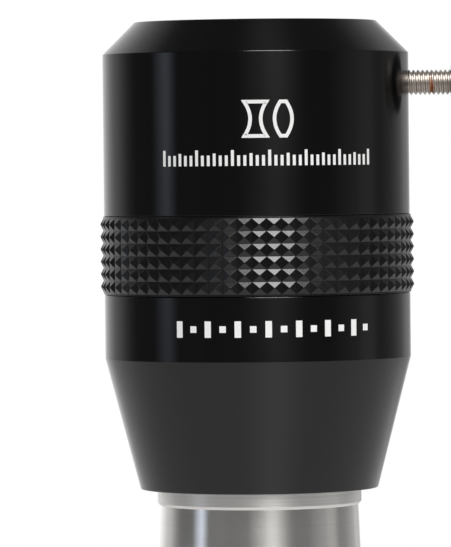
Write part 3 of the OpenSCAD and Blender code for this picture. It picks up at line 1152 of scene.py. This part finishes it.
# What each side of the studio shows, by its angle to the right of the camera
STUDIO_SIDES = [
    (-180, 1.0), (-165, 0.97), (-152, 0.88), (-143, 0.72), (-135, 0.56), (-127, 0.50),
    (-119, 0.33), (-112, 0.19), (-104, 0.10), (-88, 0.10), (-60, 0.11), (57, 0.12),
    (65, 0.18), (77, 0.26), (95, 0.25), (107, 0.165), (120, 0.22), (138, 0.38), (147, 0.54),
    (161, 0.47), (180, 1.0),
]
CEILING = 0.105
# How much of the ceiling is seen at each height, from 0 at the horizon to 1 overhead
CEILING_EDGE = [(0.42, 0), (0.56, 0.17), (0.66, 0.36), (0.73, 0.62), (0.78, 0.9), (0.83, 1)]
# Soft panels as a colour, and their strength by angle and by height
STUDIO_PANELS = (
    # Pale blue strip on the left
    ((1.25, 1.38, 1.65), [(-84, 0), (-76, 0.6), (-71, 1), (-66, 0.4), (-62, 0)],
     [(-0.03, 0), (0.0, 1), (0.12, 1), (0.22, 0)]),
    # Lower part of the key light
    ((1.9, 1.9, 1.85), [(-14, 0), (4, 0.5), (12, 1), (18, 0.95), (30, 0.3), (38, 0)],
     [(0.08, 0), (0.13, 1), (0.4, 1), (0.6, 0)]),
    # Low boards on the left and right
    ((0.05, 0.048, 0.046), [(-62, 0), (-54, 1), (-44, 0.9), (-34, 0.1), (-22, 0.7), (-12, 0)],
     [(-0.4, 0), (-0.3, 1), (-0.06, 1), (0.0, 0)]),
    ((0.28, 0.27, 0.26), [(80, 0), (86, 1), (96, 1), (102, 0)],
     [(-0.5, 0), (-0.4, 1), (-0.06, 1), (0.0, 0)]),
)


class BARLOW_OT_studio(PieceOperator, bpy.types.Operator):
    """Pale floor, soft studio light and the camera"""

    bl_idname = "barlow.studio"
    bl_label = "Studio"

    def execute(self, context):
        scene = context.scene
        studio = scene.barlow_studio
        scene.view_settings.view_transform = "Standard"
        scene.world = bpy.data.worlds.new("Studio")
        scene.world.use_nodes = True
        light_walls(scene.world.node_tree)
        make_key(scene, studio)
        make_floor(studio)
        make_camera(scene, studio)
        return {"FINISHED"}


def light_walls(tree):
    """White walls behind, a dark room in front, soft panels, and white for the camera."""
    parts = add(tree, "SeparateXYZ", {0: add(tree, "TexCoord").outputs["Generated"]})
    x, y, z = parts.outputs
    forward = add(tree, "Math", {0: y, 1: -1.0}, operation="MULTIPLY")
    angle = add(tree, "Math", {0: x, 1: forward}, operation="ARCTAN2")
    turn = add(tree, "MapRange", {"Value": angle, "From Min": -pi, "From Max": pi})
    rise = add(tree, "MapRange", {"Value": z, "From Min": -1.0, "From Max": 1.0})

    def by_angle(stops):
        return ramp(tree, turn, [(0.5 + a / 360, (v, v, v)) for a, v in stops])

    def by_height(stops):
        return ramp(tree, rise, [(0.5 + h / 2, (v, v, v)) for h, v in stops])

    ceiling = (CEILING, CEILING, CEILING, 1)
    room = add(tree, "Mix", {0: by_height(CEILING_EDGE), 6: by_angle(STUDIO_SIDES), 7: ceiling},
               data_type="RGBA").outputs[2]
    for colour, angles, heights in STUDIO_PANELS:
        shape = add(tree, "VectorMath", {0: by_angle(angles), 1: by_height(heights)},
                    operation="MULTIPLY")
        room = add(tree, "VectorMath", {0: shape, 1: colour, 2: room}, operation="MULTIPLY_ADD")
    seen = add(tree, "LightPath").outputs["Is Camera Ray"]
    mix = add(tree, "Mix", {0: seen, 7: (1, 1, 1, 1)}, data_type="RGBA")
    tree.links.new(room.outputs[0], mix.inputs[6])
    tree.links.new(mix.outputs[2], tree.nodes["Background"].inputs["Color"])


def make_key(scene, studio):
    """One large soft light, high in front."""
    light = bpy.data.lights.new("Key light", "SUN")
    light.energy = studio.key_strength
    light.angle = studio.key_spread
    key = bpy.data.objects.new("Key light", light)
    turn, rise = studio.key_azimuth, studio.key_elevation
    towards = Vector((sin(turn) * cos(rise), -cos(turn) * cos(rise), sin(rise)))
    key.rotation_euler = towards.to_track_quat("Z", "Y").to_euler()
    key.location = towards
    scene.collection.objects.link(key)


def make_floor(studio):
    """A round pale floor that the nosepiece stands on, set back a little."""
    steps = 96
    floor_z = CAD_BOX[0][2]
    back = 0.08
    rim = [(studio.floor_radius * cos(2 * pi * k / steps),
            back + studio.floor_radius * sin(2 * pi * k / steps), floor_z)
           for k in range(steps)]
    floor = new_piece("floor", rim, [tuple(range(steps))])
    material, tree, shader, place = surface("pale_floor", (0.80, 0.80, 0.80), 0)
    grain = add(tree, "TexNoise", {"Vector": place, "Scale": 0.3, "Detail": 3.0})
    set_from(tree, shader, "Roughness", between(tree, grain, 0.3, 0.4))
    floor.data.materials.append(material)


def make_camera(scene, studio):
    """A long lens, level with the grip and turned slightly."""
    camera = bpy.data.cameras.new("Camera")
    camera.lens = studio.lens
    camera.sensor_width = 36
    camera.clip_start = 0.01
    eye = bpy.data.objects.new("Camera", camera)
    turn = (Matrix.Rotation(studio.heading, 4, "Z")
            @ Matrix.Rotation(pi / 2 + studio.pitch, 4, "X")
            @ Matrix.Rotation(studio.roll, 4, "Z"))
    eye.matrix_world = Matrix.Translation((0, -studio.distance, studio.height)) @ turn
    scene.collection.objects.link(eye)
    scene.camera = eye


# ---------------------------------------------------------------- add-on


PIECES = (
    BARLOW_OT_eyepiece_holder,
    BARLOW_OT_grip_ring,
    BARLOW_OT_lower_housing,
    BARLOW_OT_nosepiece,
    BARLOW_OT_thumbscrew,
    BARLOW_OT_compression_ring,
    BARLOW_OT_rear_lenses,
    BARLOW_OT_front_lenses,
    BARLOW_OT_inner_parts,
    BARLOW_OT_markings,
    BARLOW_OT_studio,
)


class BARLOW_PT_panel(bpy.types.Panel):
    """Lists the pieces, sizes, colours and studio settings"""

    bl_label = "Barlow lens"
    bl_idname = "BARLOW_PT_panel"
    bl_space_type = "VIEW_3D"
    bl_region_type = "UI"
    bl_category = "Barlow lens"

    def draw(self, context):
        layout = self.layout
        for piece in PIECES:
            layout.operator(piece.bl_idname)
        for group in (context.scene.barlow_sizes, context.scene.barlow_colours,
                      context.scene.barlow_studio):
            box = layout.box()
            for name in group.__annotations__:
                box.prop(group, name)


GROUPS = {"barlow_sizes": BarlowSizes, "barlow_colours": BarlowColours,
          "barlow_studio": BarlowStudio}


def register():
    for cls in (*GROUPS.values(), *PIECES, BARLOW_PT_panel):
        bpy.utils.register_class(cls)
    for name, group in GROUPS.items():
        setattr(bpy.types.Scene, name, PointerProperty(type=group))


def unregister():
    for name in GROUPS:
        delattr(bpy.types.Scene, name)
    for cls in reversed((*GROUPS.values(), *PIECES, BARLOW_PT_panel)):
        bpy.utils.unregister_class(cls)


def main():
    """Builds every piece in order."""
    register()
    for piece in PIECES:
        getattr(bpy.ops.barlow, piece.bl_idname.split(".")[1])()


if __name__ == "__main__":
    main()
